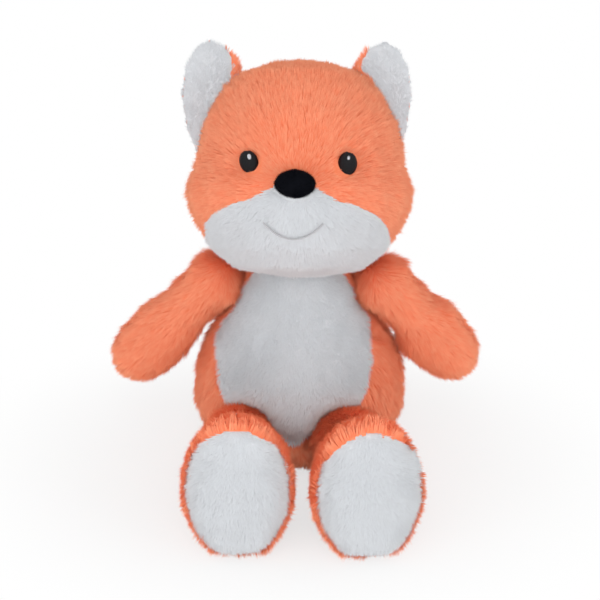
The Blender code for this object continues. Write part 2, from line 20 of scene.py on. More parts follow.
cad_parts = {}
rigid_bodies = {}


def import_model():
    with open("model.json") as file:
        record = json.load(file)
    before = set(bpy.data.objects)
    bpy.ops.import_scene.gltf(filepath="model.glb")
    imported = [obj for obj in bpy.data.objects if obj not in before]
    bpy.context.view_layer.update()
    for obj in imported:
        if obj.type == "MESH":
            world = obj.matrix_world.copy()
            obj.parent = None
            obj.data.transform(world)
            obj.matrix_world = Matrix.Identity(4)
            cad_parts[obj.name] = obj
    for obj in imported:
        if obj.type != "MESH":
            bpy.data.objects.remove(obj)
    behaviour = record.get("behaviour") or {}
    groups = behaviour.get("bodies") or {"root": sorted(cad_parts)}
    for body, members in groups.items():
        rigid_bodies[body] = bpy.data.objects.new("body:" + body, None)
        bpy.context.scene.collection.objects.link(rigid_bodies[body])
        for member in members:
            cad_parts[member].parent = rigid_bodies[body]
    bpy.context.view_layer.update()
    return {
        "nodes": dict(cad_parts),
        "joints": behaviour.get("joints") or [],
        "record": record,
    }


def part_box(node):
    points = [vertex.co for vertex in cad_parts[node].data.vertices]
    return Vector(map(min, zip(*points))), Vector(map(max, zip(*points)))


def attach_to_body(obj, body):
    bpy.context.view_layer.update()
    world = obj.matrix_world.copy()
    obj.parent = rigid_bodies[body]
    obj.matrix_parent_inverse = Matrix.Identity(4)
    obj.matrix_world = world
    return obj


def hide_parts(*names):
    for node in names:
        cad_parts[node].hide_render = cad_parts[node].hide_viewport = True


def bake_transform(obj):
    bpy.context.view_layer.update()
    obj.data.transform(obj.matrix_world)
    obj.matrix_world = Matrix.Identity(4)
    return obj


bl_info = {
    "name": "Plush fox",
    "version": (1, 0, 0),
    "blender": (4, 5, 0),
    "location": "View3D > Sidebar > Plush fox",
    "description": "Dresses the seated plush fox in its fabrics",
    "category": "Object",
}

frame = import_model()

MM = 0.001
SQUARE_MM = MM * MM
UP = Vector((0.0, 0.0, 1.0))
FRONT = Vector((0.0, -1.0, 0.0))

# The head's own frame, as it sits on the neck
HEAD_CENTRE = Vector((3.1, 8.0, 169.5)) * MM
HEAD_PLACE = (
    Matrix.Translation(HEAD_CENTRE)
    @ Matrix.Rotation(radians(-3.5), 4, "Z")
    @ Matrix.Rotation(radians(-18.0), 4, "X")
)
HEAD_TURN = HEAD_PLACE.to_3x3()
HEAD_REACH = 200.0 * MM

# Mouth, as an arc on the muzzle in the head's own frame
MOUTH_HALF_SPAN = 15.9 * MM
MOUTH_END_HEIGHT = -30.3 * MM
MOUTH_SAG = 8.5 * MM
MOUTH_POINTS = 120

# Every map of colour along a fibre lies in this UV map: tone across, root to tip upwards
PILE_MAP = "OFBake"
TONE_WIDTH = 1.0 / 400.0

SIDES = ("left", "right")

# One kind of cloth: its pile's length, half width at the root, rise from the backing in
# degrees and how much that varies, how far it strays from its combed direction in degrees,
# how strongly it gathers into locks, and how many fibres share a lock
Fabric = namedtuple("Fabric", "length half_width rise rise_spread stray gather lock")

# One stuffed body: its covers, its filling, the size of its skin's mesh, its smoothing, its
# depth below the covers' surface, how far it may swell, and how evenly it is fitted
Stuffed = namedtuple("Stuffed", "name body covers filling voxel smoothing depth swell even")

BODIES = (
    Stuffed("head", "head", ("face_cover", "muzzle_panel", "head_back_left", "head_back_right"),
            "head_filling", 3.0 * MM, 12, 2.1 * MM, 1.6 * MM, 5),
    Stuffed("torso", "torso", ("torso_left", "torso_right", "belly_panel"),
            "torso_filling", 3.0 * MM, 12, 2.1 * MM, 1.6 * MM, 5),
    *(Stuffed(f"arm_{side}", f"arm_{side}", (f"arm_{side}_front", f"arm_{side}_back"),
              f"arm_{side}_filling", 2.5 * MM, 6, 2.2 * MM, 1.2 * MM, 5) for side in SIDES),
    *(Stuffed(f"leg_{side}", f"leg_{side}",
              (f"leg_{side}_inner", f"leg_{side}_outer", f"sole_{side}"),
              f"leg_{side}_filling", 2.5 * MM, 8, 2.3 * MM, 1.4 * MM, 24) for side in SIDES),
    Stuffed("tail", "tail", ("tail_cover", "tail_tip"),
            "tail_filling", 2.5 * MM, 6, 2.2 * MM, 1.2 * MM, 5),
)
EARS = [
    Stuffed(f"ear_{side}", "head", (f"ear_{side}_front", f"ear_{side}_back"),
            None, 1.1 * MM, 5, 0.9 * MM, 0.0, 30) for side in SIDES
]

# Bodies whose skin is drawn out from their filling alone, which has no slits at the seams
DRAWN_OUT = ("head", "torso", "leg_left", "leg_right")

# How thick the backings are, how deep the filling lies, and the share of its length that an
# ear's pile has
BACKING_THICKNESS = 1.2 * MM
EAR_BACKING_THICKNESS = 0.6 * MM
FILLING_DEPTH = 4.0 * MM
EAR_PILE_SHARE = 0.58

# No fibre grows where another body lies this close, and beside it the long pile stands up
SOCKET_REACH = 0.35 * MM
CREASE_RISE = radians(14.0)
CREASE_REACH = 7.0 * MM

# How far the pile keeps from the stitched eyes, the mouth and the floor
EYE_MARGIN = 1.3 * MM
MOUTH_MARGIN = 0.5 * MM
FLOOR_CLEARANCE = 0.15 * MM

# Panels that are seen less have fewer and wider fibres, as shares of their fabric's own
HIDDEN_SHARE = 0.66
HIDDEN_WIDTH = 1.25

# How the covers' outer surface is told from their inner one
SURFACE_LIFT = 0.02 * MM
LAYER_REACH = 2.5 * MM

# How a skin is fitted under that surface: its moves, and its share of the depth beside another
# body, which fades away from there
FIT_STEPS = 3
FIT_REACH = 6.0 * MM
FIT_MOVE = 3.0 * MM
SOCKET_SHARE = 0.3
SOCKET_FADE = 6.0 * MM

# How a skin is blown up as cloth, and how near a seam it is held
CLOTH_FRAMES = 20
CLOTH_PRESSURE = 4.0
SWELL_EVEN = 12
SEAM_REACH = 2.6 * MM

# An ear's orange back shows along the rim of its front towards the head's middle
RIM_WIDTH = 6.0 * MM
RIM_LENGTH = 20.0 * MM
RIM_SLICES = 40
EAR_EDGE = 2.4 * MM

# The long pile beside a white cover, as a share of its length, and how far that reaches
TRIMMED_SHARE = 0.8
TRIMMED_REACH = 6.0 * MM

# How the pile wavers: the sizes of the waves in its combing, its length, its tone and its
# filling's lumps, and how far a lock's fibres are pulled together at their tips
STRAY_WAVE = 16.0 * MM
LENGTH_WAVE = 9.0 * MM
TONE_WAVE = 30.0 * MM
LUMP_WAVES = (12.0 * MM, 5.0 * MM)
LUMP_HEIGHTS = (0.5 * MM, 0.2 * MM)
LOCK_SHARE = 0.35
SHORTEST = 0.4
LONGEST = 1.35

# How deep a fibre's root is sunk, and how far its shading leans to each side
ROOT_DEPTH = 0.4 * MM
SIDE_LEAN = 0.22

# The flow of the pile: the forehead's rows above the eyes run up more than sideways, the cheeks'
# and the back's turn down, and a limb's part along its middle
FOREHEAD_FROM = 5.0 * MM
FOREHEAD_SHARE = 0.55
CHEEK_REACH = 60.0 * MM
BACK_REACH = 40.0 * MM
PARTING_REACH = 16.0 * MM
PARTING_TURN = 0.45
EAR_SPREAD = 11.0 * MM

# A sole's white pile ends in an even oval, where the long pile stands up and faces forwards
SOLE_EDGE = 1.0
SOLE_FOOT = 0.96
SOLE_DEPTH = 16.0 * MM
SOLE_RISE = radians(14.0)
STANDING_RISE = radians(24.0)
STANDING_REACH = 14.0 * MM
FACING_SHARE = 0.75

# The long pile is short on the bridge of the nose, and short and more upright on the crown
CROWN_RISE = radians(15.0)
CROWN_SHARE = 0.72
BRIDGE_SHARE = 0.5
BRIDGE_REACH = 34.0 * MM

# The satin stitches of an eye and of its glint: half width, half height, how far they are domed
# and lifted off the face, and how far apart the stitches lie
Stitches = namedtuple("Stitches", "width height dome lift pitch")
EYE = Stitches(5.0 * MM, 6.2 * MM, 2.4 * MM, 1.0 * MM, 0.46 * MM)
GLINT = Stitches(1.0 * MM, 1.5 * MM, 1.0 * MM, 1.0 * MM, 0.4 * MM)
EYE_TILT = radians(10.0)

# The stage: how much the floor is lifted to white near the toy and from where to where that
# becomes all of it, each lamp's setting, size and place, and the camera
FLOOR_RADIUS = 3.0
FLOOR_LIFT = 0.68
FLOOR_FADE = (0.08, 0.22)
LAMPS = (
    ("key", "key_power", 0.9, (-0.2, -0.85, 1.0)),
    ("front", "front_power", 0.5, (0.0, -1.15, 0.86)),
    ("low", "low_power", 0.5, (0.0, -1.2, 0.1)),
    ("side_left", "side_power", 0.5, (-0.95, -0.95, 0.22)),
    ("side_right", "side_power", 0.5, (0.95, -0.95, 0.22)),
    ("back", "back_power", 0.9, (0.3, 1.2, 0.6)),
)
LAMP_TARGET = Vector((0.0, 0.0, 0.1))
CAMERA_LENS = 99.72
CAMERA_DISTANCE = 0.95
CAMERA_HEIGHT = radians(20.0)
CAMERA_TARGET = Vector((0.0031, 0.0, 0.095))

SLOT_OF = {row["node"]: row["material_slot"] for row in frame["record"]["subparts"]}


def linear(red, green, blue):
    """A colour given as it is seen, from 0 to 255, as the shader's linear values."""
    shares = [value / 255.0 for value in (red, green, blue)]
    return tuple(s / 12.92 if s <= 0.04045 else ((s + 0.055) / 1.055) ** 2.4 for s in shares)


class Tree:
    """The node tree of a material or a world, with the shader that it starts with."""

    def __init__(self, owner, shader="Principled BSDF"):
        owner.use_nodes = True
        self.owner = owner
        self.tree = owner.node_tree
        self.shader = self.tree.nodes[shader]

    def node(self, kind, settings=None, **inputs):
        """Add a node, first with its settings, then with the values or links of its sockets."""
        made = self.tree.nodes.new("ShaderNode" + kind)
        for key, value in (settings or {}).items():
            if key == "stops":
                self.fill_ramp(made.color_ramp, value)
            else:
                setattr(made, key, value)
        for key, value in inputs.items():
            self.feed(made.inputs[int(key[1:])] if key[0] == "_" else made.inputs[key], value)
        return made

    def fill_ramp(self, ramp, stops):
        while len(ramp.elements) < len(stops):
            ramp.elements.new(0.5)
        for element, (place, colour) in zip(ramp.elements, stops):
            element.position = place
            element.color = (*colour, 1.0)

    def feed(self, socket, value):
        if isinstance(value, Link):
            self.tree.links.new(value.socket, socket)
        elif isinstance(value, tuple) and len(value) == 3 and socket.type == "RGBA":
            socket.default_value = (*value, 1.0)
        else:
            socket.default_value = value

    def link(self, made, output=0):
        return Link(self, made.outputs[output])

    def set(self, name, value):
        self.feed(self.shader.inputs[name], value)

    def mix(self, factor, first, second):
        """One colour run into another."""
        made = self.node("Mix", {"data_type": "RGBA"})
        self.feed(made.inputs[0], factor)
        self.feed(made.inputs[6], first)
        self.feed(made.inputs[7], second)
        return self.link(made, 2)


class Link:
    """A shader socket that takes part in sums."""

    def __init__(self, tree, socket):
        self.tree = tree
        self.socket = socket

    def sum(self, operation, first, second):
        return self.tree.link(self.tree.node("Math", {"operation": operation}, _0=first, _1=second))

    def __add__(self, other):
        return self.sum("ADD", self, other)

    def __rsub__(self, other):
        return self.sum("SUBTRACT", other, self)

    def __mul__(self, other):
        return self.sum("MULTIPLY", self, other)


def pile_material(name, root, body, tip, pale, deep, roughness, sheen, gloss=0.25):
    """A pile whose colour runs from a darker root (painted shade) to a paler tip (painted
    highlight) and differs from lock to lock.
    """
    tree = Tree(bpy.data.materials.new(name))
    place = tree.node("UVMap", {"uv_map": PILE_MAP})
    parts = tree.node("SeparateXYZ", _0=tree.link(place))
    tone = tree.link(parts, 0)
    along = tree.link(parts, 1)
    # Painted shade and highlight along each fibre: darker at the root, paler at the tip
    run = tree.node("ValToRGB", {"stops": ((0.0, root), (0.32, body), (0.85, tip))}, _0=along)
    paler = tree.mix(tone * tone * 0.45, tree.link(run), pale)
    darker = tree.mix((1.0 - tone) * (1.0 - tone) * 0.4, paler, deep)
    grain = tree.node("TexNoise", {"noise_dimensions": "2D"},
                      Vector=tree.link(place), Scale=60.0, Detail=2.0)
    tree.set("Base Color", tree.mix(tree.link(grain) * 0.12, darker, pale))
    tree.set("Roughness", along * -0.12 + roughness)
    tree.set("Sheen Weight", sheen)
    tree.set("Sheen Roughness", 0.45)
    tree.set("Sheen Tint", (*tip, 1.0))
    tree.set("Specular IOR Level", gloss)
    return tree.owner


def orange_pile(settings, name):
    # Root a little darker than the body as painted shade, tip paler as painted highlight
    return pile_material(
        name, linear(249, 128, 88), tuple(settings.orange), linear(255, 164, 124),
        linear(255, 184, 148), linear(247, 124, 82), 0.85, 1.0,
    )


def white_pile(settings, name):
    # Root a little darker than the body as painted shade, tip paler as painted highlight
    return pile_material(
        name, linear(213, 214, 217), tuple(settings.white), linear(225, 228, 231),
        linear(233, 236, 239), linear(212, 213, 216), 0.88, 0.15,
    )


def velvet_pile(name):
    # Black roots to bluish grey tips: a painted sheen on the velvet
    return pile_material(
        name, linear(2, 2, 3), linear(4, 5, 8), linear(14, 16, 24),
        linear(34, 38, 52), linear(2, 3, 4), 0.8, 0.0, 0.06,
    )


def thread_material(name, colour, highlight, roughness, sheen=0.1):
    """Twisted embroidery thread: fine strands across each stitch and a soft shine."""
    tree = Tree(bpy.data.materials.new(name))
    place = tree.link(tree.node("TexCoord"), 3)
    fine = tree.node("TexNoise", None, Vector=place, Scale=2600.0, Detail=3.0)
    broad = tree.node("TexNoise", None, Vector=place, Scale=420.0, Detail=1.0)
    share = tree.link(fine) * 0.6 + tree.link(broad) * 0.4
    tree.set("Base Color", tree.mix(share, colour, highlight))
    tree.set("Roughness", share * 0.25 + (roughness - 0.12))
    tree.set("Sheen Weight", sheen)
    tree.set("Specular IOR Level", 0.3)
    return tree.owner


def fibrefill_material(name):
    """Loose polyester fibre, with a darker, warmer white painted by a noise as shade in the hollows
    between its tufts.
    """
    tree = Tree(bpy.data.materials.new(name))
    place = tree.link(tree.node("TexCoord"), 3)
    tufts = tree.node("TexNoise", None, Vector=place, Scale=180.0, Detail=4.0, Distortion=1.2)
    # Painted shade: the tuft noise's low values get the darker, warmer white
    tree.set("Base Color", tree.mix(tree.link(tufts), linear(214, 212, 205), linear(246, 246, 242)))
    tree.set("Roughness", tree.link(tufts) * 0.1 + 0.85)
    tree.set("Sheen Weight", 0.3)
    return tree.owner


def select_only(item):
    bpy.ops.object.select_all(action="DESELECT")
    item.select_set(True)
    bpy.context.view_layer.objects.active = item


def apply_modifier(item, kind, **settings):
    select_only(item)
    modifier = item.modifiers.new(kind.title(), kind)
    for key, value in settings.items():
        setattr(modifier, key, value)
    bpy.ops.object.modifier_apply(modifier=modifier.name)


def new_object(name, mesh):
    item = bpy.data.objects.new(name, mesh)
    bpy.context.scene.collection.objects.link(item)
    return item


def merged_copy(name, nodes):
    """The named CAD nodes, copied and joined, with each one's loose triangles welded."""
    copies = [new_object(name, frame["nodes"][node].data.copy()) for node in nodes]
    select_only(copies[0])
    for copy in copies[1:]:
        copy.select_set(True)
    bpy.ops.object.join()
    skin = bpy.context.view_layer.objects.active
    bpy.ops.object.mode_set(mode="EDIT")
    bpy.ops.mesh.select_all(action="SELECT")
    bpy.ops.mesh.remove_doubles(threshold=0.01 * MM)
    bpy.ops.object.mode_set(mode="OBJECT")
    skin.data.materials.clear()
    return skin


def points_of(mesh):
    found = np.empty(len(mesh.vertices) * 3)
    mesh.vertices.foreach_get("co", found)
    return found.reshape(-1, 3)


def normals_of(mesh):
    found = np.empty(len(mesh.vertices) * 3)
    mesh.vertex_normals.foreach_get("vector", found)
    return found.reshape(-1, 3)


def place_points(mesh, points):
    mesh.vertices.foreach_set("co", points.ravel())
    mesh.update()


def triangles_of(mesh):
    mesh.calc_loop_triangles()
    found = np.empty(len(mesh.loop_triangles) * 3, dtype=np.int32)
    mesh.loop_triangles.foreach_get("vertices", found)
    return found.reshape(-1, 3)


def nodes_of(stuffed):
    return [*stuffed.covers, stuffed.filling] if stuffed.filling else stuffed.covers


def outer_tree(stuffed):
    """A tree of the covers' outer surface alone, and which cover each triangle belongs to."""
    closed, _ = search_tree(nodes_of(stuffed))
    points, faces, owners = [], [], []
    for node in stuffed.covers:
        mesh = frame["nodes"][node].data
        start = len(points)
        corners = points_of(mesh)
        points.extend(corners.tolist())
        for face in triangles_of(mesh):
            first, second, third = (Vector(corner) for corner in corners[face])
            middle = (first + second + third) / 3.0
            outward = (second - first).cross(third - first).normalized()
            inner = [middle, *(middle.lerp(corner, 0.6) for corner in (first, second, third))]
            starts = [place + outward * SURFACE_LIFT for place in inner]
            if any(closed.ray_cast(place, outward, LAYER_REACH)[0] is None for place in starts):
                faces.append([int(index) + start for index in face])
                owners.append(node)
    return BVHTree.FromPolygons(points, faces), owners


def in_head(points):
    """The points in the head's own frame."""
    return (points - np.array(HEAD_CENTRE)) @ np.array(HEAD_TURN)


def search_tree(nodes):
    """A tree of the CAD nodes' surfaces, and which node each of its triangles belongs to."""
    points, faces, owners = [], [], []
    for node in nodes:
        mesh = frame["nodes"][node].data
        start = len(points)
        points.extend(vertex.co.copy() for vertex in mesh.vertices)
        found = triangles_of(mesh)
        faces.extend((found + start).tolist())
        owners.extend([node] * len(found))
    return BVHTree.FromPolygons(points, faces), owners


def keep_outer_shell(skin):
    """Drop what the remesh left inside: only the shell that holds the topmost point stays."""
    top = int(np.argmax(points_of(skin.data)[:, 2]))
    select_only(skin)
    bpy.ops.object.mode_set(mode="EDIT")
    bpy.ops.mesh.select_all(action="DESELECT")
    bpy.ops.object.mode_set(mode="OBJECT")
    skin.data.vertices[top].select = True
    bpy.ops.object.mode_set(mode="EDIT")
    bpy.ops.mesh.select_mode(type="VERT")
    bpy.ops.mesh.select_linked()
    bpy.ops.mesh.select_all(action="INVERT")
    bpy.ops.mesh.delete(type="VERT")
    bpy.ops.object.mode_set(mode="OBJECT")


def seam_points(skin, covers):
    """The skin's points that lie on a seam between two covers, which its filling can't push out."""
    trees = [search_tree([cover])[0] for cover in covers]
    found = []
    for index, point in enumerate(skin.data.vertices):
        reaches = sorted(tree.find_nearest(point.co)[3] for tree in trees)
        if reaches[1] - reaches[0] < SEAM_REACH:
            found.append(index)
    return found


def evened(skin, values, rounds):
    """Values at the skin's points, each averaged with its neighbours' so many times over."""
    edges = np.array([list(edge.vertices) for edge in skin.data.edges])
    neighbours = np.bincount(edges.ravel(), minlength=len(values))
    neighbours = neighbours.reshape((-1,) + (1,) * (values.ndim - 1))
    for _ in range(rounds):
        total = np.zeros_like(values)
        np.add.at(total, edges[:, 0], values[edges[:, 1]])
        np.add.at(total, edges[:, 1], values[edges[:, 0]])
        values = 0.5 * values + 0.5 * total / neighbours
    return values


def swell(skin, seams, most):
    """Fill the skin: it is blown up as cloth, held at its seams, and may move by most."""
    held = skin.vertex_groups.new(name="seams")
    held.add(seams, 1.0, "REPLACE")
    before = points_of(skin.data)
    select_only(skin)
    modifier = skin.modifiers.new("Cloth", "CLOTH")
    cloth = modifier.settings
    cloth.use_pressure = True
    cloth.uniform_pressure_force = CLOTH_PRESSURE
    cloth.vertex_group_mass = held.name
    cloth.effector_weights.gravity = 0.0
    modifier.point_cache.frame_start = 1
    modifier.point_cache.frame_end = CLOTH_FRAMES
    for step in range(1, CLOTH_FRAMES + 1):
        bpy.context.scene.frame_set(step)
    bpy.ops.object.modifier_apply(modifier=modifier.name)
    bpy.context.scene.frame_set(1)
    moves = points_of(skin.data) - before
    reach = np.linalg.norm(moves, axis=1, keepdims=True)
    moves = evened(skin, moves * np.minimum(1.0, most / np.maximum(reach, 1e-9)), SWELL_EVEN)
    place_points(skin.data, before + moves)
    skin.vertex_groups.clear()


def reach_from(tree, points):
    """How far each point lies outside the tree's surface, less than nought where it is inside."""
    found = []
    for point in points:
        place, normal, _, _ = tree.find_nearest(point)
        away = Vector(point) - place
        found.append(away.length if away.dot(normal) > 0.0 else -away.length)
    return np.array(found)


def settle(skin, tree, depth):
    """Bring the skin as a whole to its depth below the covers' outer surface."""
    shift = -depth - float(np.median(reach_from(tree, points_of(skin.data))))
    place_points(skin.data, points_of(skin.data) + normals_of(skin.data) * shift)


def beside(stuffed):
    """A tree of the covers of the bodies and ears beside this one."""
    others = [
        node for node in frame["nodes"]
        if node not in (*stuffed.covers, stuffed.filling, "mouth_thread")
        and not node.startswith("eye") and not node.endswith("filling")
    ]
    return search_tree(others)[0]


def fit(skin, tree, near, depth, even):
    """Bring the skin to its depth below the covers, which is less beside another body.

    What lies deeper than the reach is a joint's socket, and stays where it is.
    """
    for _ in range(FIT_STEPS):
        points = points_of(skin.data)
        clearance = distances(near, points, SOCKET_FADE) / SOCKET_FADE
        share = SOCKET_SHARE + (1.0 - SOCKET_SHARE) * clearance
        reach = reach_from(tree, points)
        shift = np.clip(-depth * share - reach, -FIT_MOVE, FIT_MOVE)
        shift = evened(skin, np.where(np.abs(reach) < FIT_REACH, shift, 0.0), even)
        place_points(skin.data, points + normals_of(skin.data) * shift[:, None])


def make_skin(stuffed):
    """The smooth, filled skin of one stuffed body, from which its covers are cut."""
    nodes = [stuffed.filling] if stuffed.name in DRAWN_OUT else nodes_of(stuffed)
    skin = merged_copy(stuffed.name + "_skin", nodes)
    apply_modifier(skin, "REMESH", mode="VOXEL", voxel_size=stuffed.voxel)
    keep_outer_shell(skin)
    apply_modifier(skin, "SMOOTH", factor=0.5, iterations=stuffed.smoothing)
    tree, _ = outer_tree(stuffed)
    fit(skin, tree, beside(stuffed), stuffed.depth + 0.5 * stuffed.swell, stuffed.even)
    if stuffed.swell:
        swell(skin, seam_points(skin, stuffed.covers), stuffed.swell)
        apply_modifier(skin, "SMOOTH", factor=0.5, iterations=1)
        settle(skin, tree, stuffed.depth)
    return skin


def ripple(points, size, seed):
    """A smooth wavering value from about -1 to 1 over the points, of the given size."""
    source = np.random.default_rng(seed)
    waves = source.normal(size=(7, 3)) * 2.0 * pi / size / 1.7
    phases = source.uniform(0.0, 2.0 * pi, 7)
    return np.sin(points @ waves.T + phases).sum(axis=1) / 2.6


def unit(rows):
    return rows / np.maximum(np.linalg.norm(rows, axis=1, keepdims=True), 1e-9)


def scattered(skin, count_per_area, source, near=None):
    """Points spread evenly over the skin, or near one cover, with its normals there."""
    points = points_of(skin.data)
    normals = normals_of(skin.data)
    faces = triangles_of(skin.data)
    if near is not None:
        faces = faces[near[faces].any(axis=1)]
    corners = points[faces]
    sides = np.cross(corners[:, 1] - corners[:, 0], corners[:, 2] - corners[:, 0])
    areas = np.linalg.norm(sides, axis=1) / 2.0
    count = int(areas.sum() * count_per_area)
    chosen = source.choice(len(faces), size=count, p=areas / areas.sum())
    first, second = source.uniform(size=(2, count))
    over = first + second > 1.0
    first[over] = 1.0 - first[over]
    second[over] = 1.0 - second[over]
    shares = np.stack([1.0 - first - second, first, second], axis=1)[:, :, None]
    found = (corners[chosen] * shares).sum(axis=1)
    return found, unit((normals[faces[chosen]] * shares).sum(axis=1))


Fibres = namedtuple("Fibres", "roots normals tips half_width tone")


def comb(points, normals, flow, fabric, seed, trim=1.0, upright=0.0):
    """Lay fibres over along the flow, straying a little and gathered into locks."""
    source = np.random.default_rng(seed)
    count = len(points)
    along = unit(flow - normals * (flow * normals).sum(axis=1, keepdims=True))
    across = np.cross(normals, along)
    stray = 0.7 * ripple(points, STRAY_WAVE, seed) + 0.5 * source.normal(size=count)
    stray *= radians(fabric.stray)
    turned = along * np.cos(stray)[:, None] + across * np.sin(stray)[:, None]
    rise = radians(fabric.rise) + upright + radians(fabric.rise_spread) * source.normal(size=count)
    uneven = 0.14 * source.normal(size=count) + 0.1 * ripple(points, LENGTH_WAVE, seed + 1)
    length = fabric.length * (1.0 + uneven)
    lean = turned * np.cos(rise)[:, None] + normals * np.sin(rise)[:, None]
    length = np.clip(length, SHORTEST * fabric.length, LONGEST * fabric.length) * trim
    tips = points + lean * length[:, None]
    centres = np.arange(0, count, fabric.lock)
    locks = KDTree(len(centres))
    for place, index in enumerate(centres):
        locks.insert(points[index], place)
    locks.balance()
    owner = centres[np.array([locks.find(point)[1] for point in points], dtype=int)]
    together = tips[owner] + (points - points[owner]) * LOCK_SHARE
    tips = tips + (together - tips) * fabric.gather
    shade = source.normal(size=count)
    tone = 0.5 + 0.09 * shade + 0.09 * shade[owner] + 0.07 * ripple(points, TONE_WAVE, seed + 2)
    return Fibres(points, normals, tips, fabric.half_width, np.clip(tone, 0.02, 0.98))


def face_normals(points, faces):
    corners = points[faces]
    return unit(np.cross(corners[:, 1] - corners[:, 0], corners[:, 2] - corners[:, 0]))


def fibre_mesh(fibres):
    """Each fibre as a closed spike of four triangles that is flat towards its outer side."""
    along = unit(fibres.tips - fibres.roots)
    across = unit(np.cross(fibres.normals, along))
    sunk = fibres.roots - fibres.normals * ROOT_DEPTH
    left = sunk + across * fibres.half_width
    right = sunk - across * fibres.half_width
    under = sunk - fibres.normals * fibres.half_width * 0.7
    points = np.stack([left, right, under, fibres.tips], axis=1).reshape(-1, 3)
    first = np.arange(len(fibres.roots))[:, None, None] * 4
    faces = (first + np.array([[0, 1, 3], [1, 2, 3], [2, 0, 3], [0, 2, 1]])[None]).reshape(-1, 3)
    shading = np.repeat(face_normals(points, faces)[:, None], 3, axis=1)
    outer = unit(fibres.normals * 0.85 + shading[::4, 0] * 0.4)
    lean = across * SIDE_LEAN
    shading[::4] = np.stack([unit(outer + lean), unit(outer - lean), outer], axis=1)
    tone = fibres.tone
    flat = np.zeros_like(tone)
    places = np.stack([
        np.stack([tone - TONE_WIDTH, flat + 0.04], axis=1),
        np.stack([tone + TONE_WIDTH, flat + 0.04], axis=1),
        np.stack([tone, flat + 0.002], axis=1),
        np.stack([tone, flat + 0.995], axis=1),
    ], axis=1).reshape(-1, 2)
    return points, faces, shading, places[faces.ravel()]


def flat_places(tone, side, top):
    """Where plain triangles lie in the pile's map: two corners at one height, one at another."""
    low, high = np.full_like(tone, side), np.full_like(tone, top)
    return np.stack([
        np.stack([tone - TONE_WIDTH, low], axis=1),
        np.stack([tone + TONE_WIDTH, low], axis=1),
        np.stack([tone, high], axis=1),
    ], axis=1).reshape(-1, 2)


def backing_mesh(name, skin, faces_kept, thickness, seed):
    """A closed backing cut from the skin: the kept faces, given their thickness inwards."""
    bm = bmesh.new()
    bm.from_mesh(skin.data)
    bm.faces.ensure_lookup_table()
    dropped = [bm.faces[index] for index in np.flatnonzero(~faces_kept)]
    bmesh.ops.delete(bm, geom=dropped, context="FACES")
    mesh = bpy.data.meshes.new(name)
    bm.to_mesh(mesh)
    bm.free()
    backing = new_object(name, mesh)
    apply_modifier(backing, "SOLIDIFY", thickness=thickness, offset=-1.0)
    points = points_of(backing.data)
    faces = triangles_of(backing.data)
    normals = normals_of(backing.data)[faces]
    tone = np.random.default_rng(seed).uniform(0.3, 0.6, len(faces))
    bpy.data.objects.remove(backing)
    return points, faces, normals, flat_places(tone, 0.26, 0.32)


def piece_from(name, parts, material):
    """One piece from several lots of points, faces, and each corner's normal and pile place."""
    points, faces, normals, places = [], [], [], []
    start = 0
    for part_points, part_faces, part_normals, part_places in parts:
        points.append(part_points)
        faces.append(part_faces + start)
        normals.append(part_normals)
        places.append(part_places)
        start += len(part_points)
    points = np.concatenate(points)
    faces = np.concatenate(faces).astype(np.int32)
    mesh = bpy.data.meshes.new(name)
    mesh.vertices.add(len(points))
    mesh.vertices.foreach_set("co", points.ravel())
    mesh.loops.add(len(faces) * 3)
    mesh.loops.foreach_set("vertex_index", faces.ravel())
    mesh.polygons.add(len(faces))
    mesh.polygons.foreach_set("loop_start", np.arange(0, len(faces) * 3, 3, dtype=np.int32))
    layer = mesh.uv_layers.new(name=PILE_MAP)
    layer.data.foreach_set("uv", np.concatenate(places).ravel())
    mesh.update(calc_edges=True)
    mesh.polygons.foreach_set("use_smooth", np.ones(len(faces), dtype=bool))
    mesh.normals_split_custom_set(np.concatenate(normals).reshape(-1, 3).tolist())
    mesh.materials.append(material)
    return new_object(name, mesh)


def attach(piece, body, node, limb_joint=None):
    """The piece stands for its CAD node, which it hides, and goes with its body; a limb's piece
    stays where it is, not tied to its body.
    """
    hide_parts(node)
    if limb_joint:
        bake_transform(piece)
    else:
        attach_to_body(piece, body)
    return piece


def limb_line(stuffed):
    """Where a limb's joint is, and the way from there along the limb."""
    joints = [joint for joint in frame["joints"] if joint["child"] == stuffed.body]
    pivot = Vector(joints[0]["pos_m"])
    middles = [points_of(frame["nodes"][node].data).mean(axis=0) for node in stuffed.covers]
    return pivot, (Vector(np.mean(middles, axis=0)) - pivot).normalized()


def outward_from_nose(points):
    """Up over the forehead, out over the cheeks and down the back of the head."""
    local = in_head(points)
    nose = np.array(HEAD_PLACE.inverted() @ nose_centre())
    way = local - nose
    way[:, 0] *= np.where(local[:, 2] > FOREHEAD_FROM, FOREHEAD_SHARE, 1.0)
    sideways = np.clip(np.abs(local[:, 0]) / CHEEK_REACH, 0.0, 1.0) ** 2
    behind = np.clip(local[:, 1] / BACK_REACH, 0.0, 1.0)
    way = unit(way)
    way[:, 2] -= 0.35 * sideways + 1.6 * behind
    return way @ np.array(HEAD_TURN).T


def down_the_torso(points):
    way = np.zeros_like(points)
    way[:, 0] = points[:, 0] * 3.0
    way[:, 2] = -1.0
    return way


def along_limb(pivot, axis, parting):
    """Along the limb, turned away from a parting that runs down the middle of its front."""
    def flow(points):
        side = np.array(axis.cross(parting).normalized())
        reach = (points - np.array(pivot)) @ side
        turn = np.clip(reach / PARTING_REACH, -1.0, 1.0)[:, None] * PARTING_TURN
        return np.array(axis)[None] + side[None] * turn
    return flow


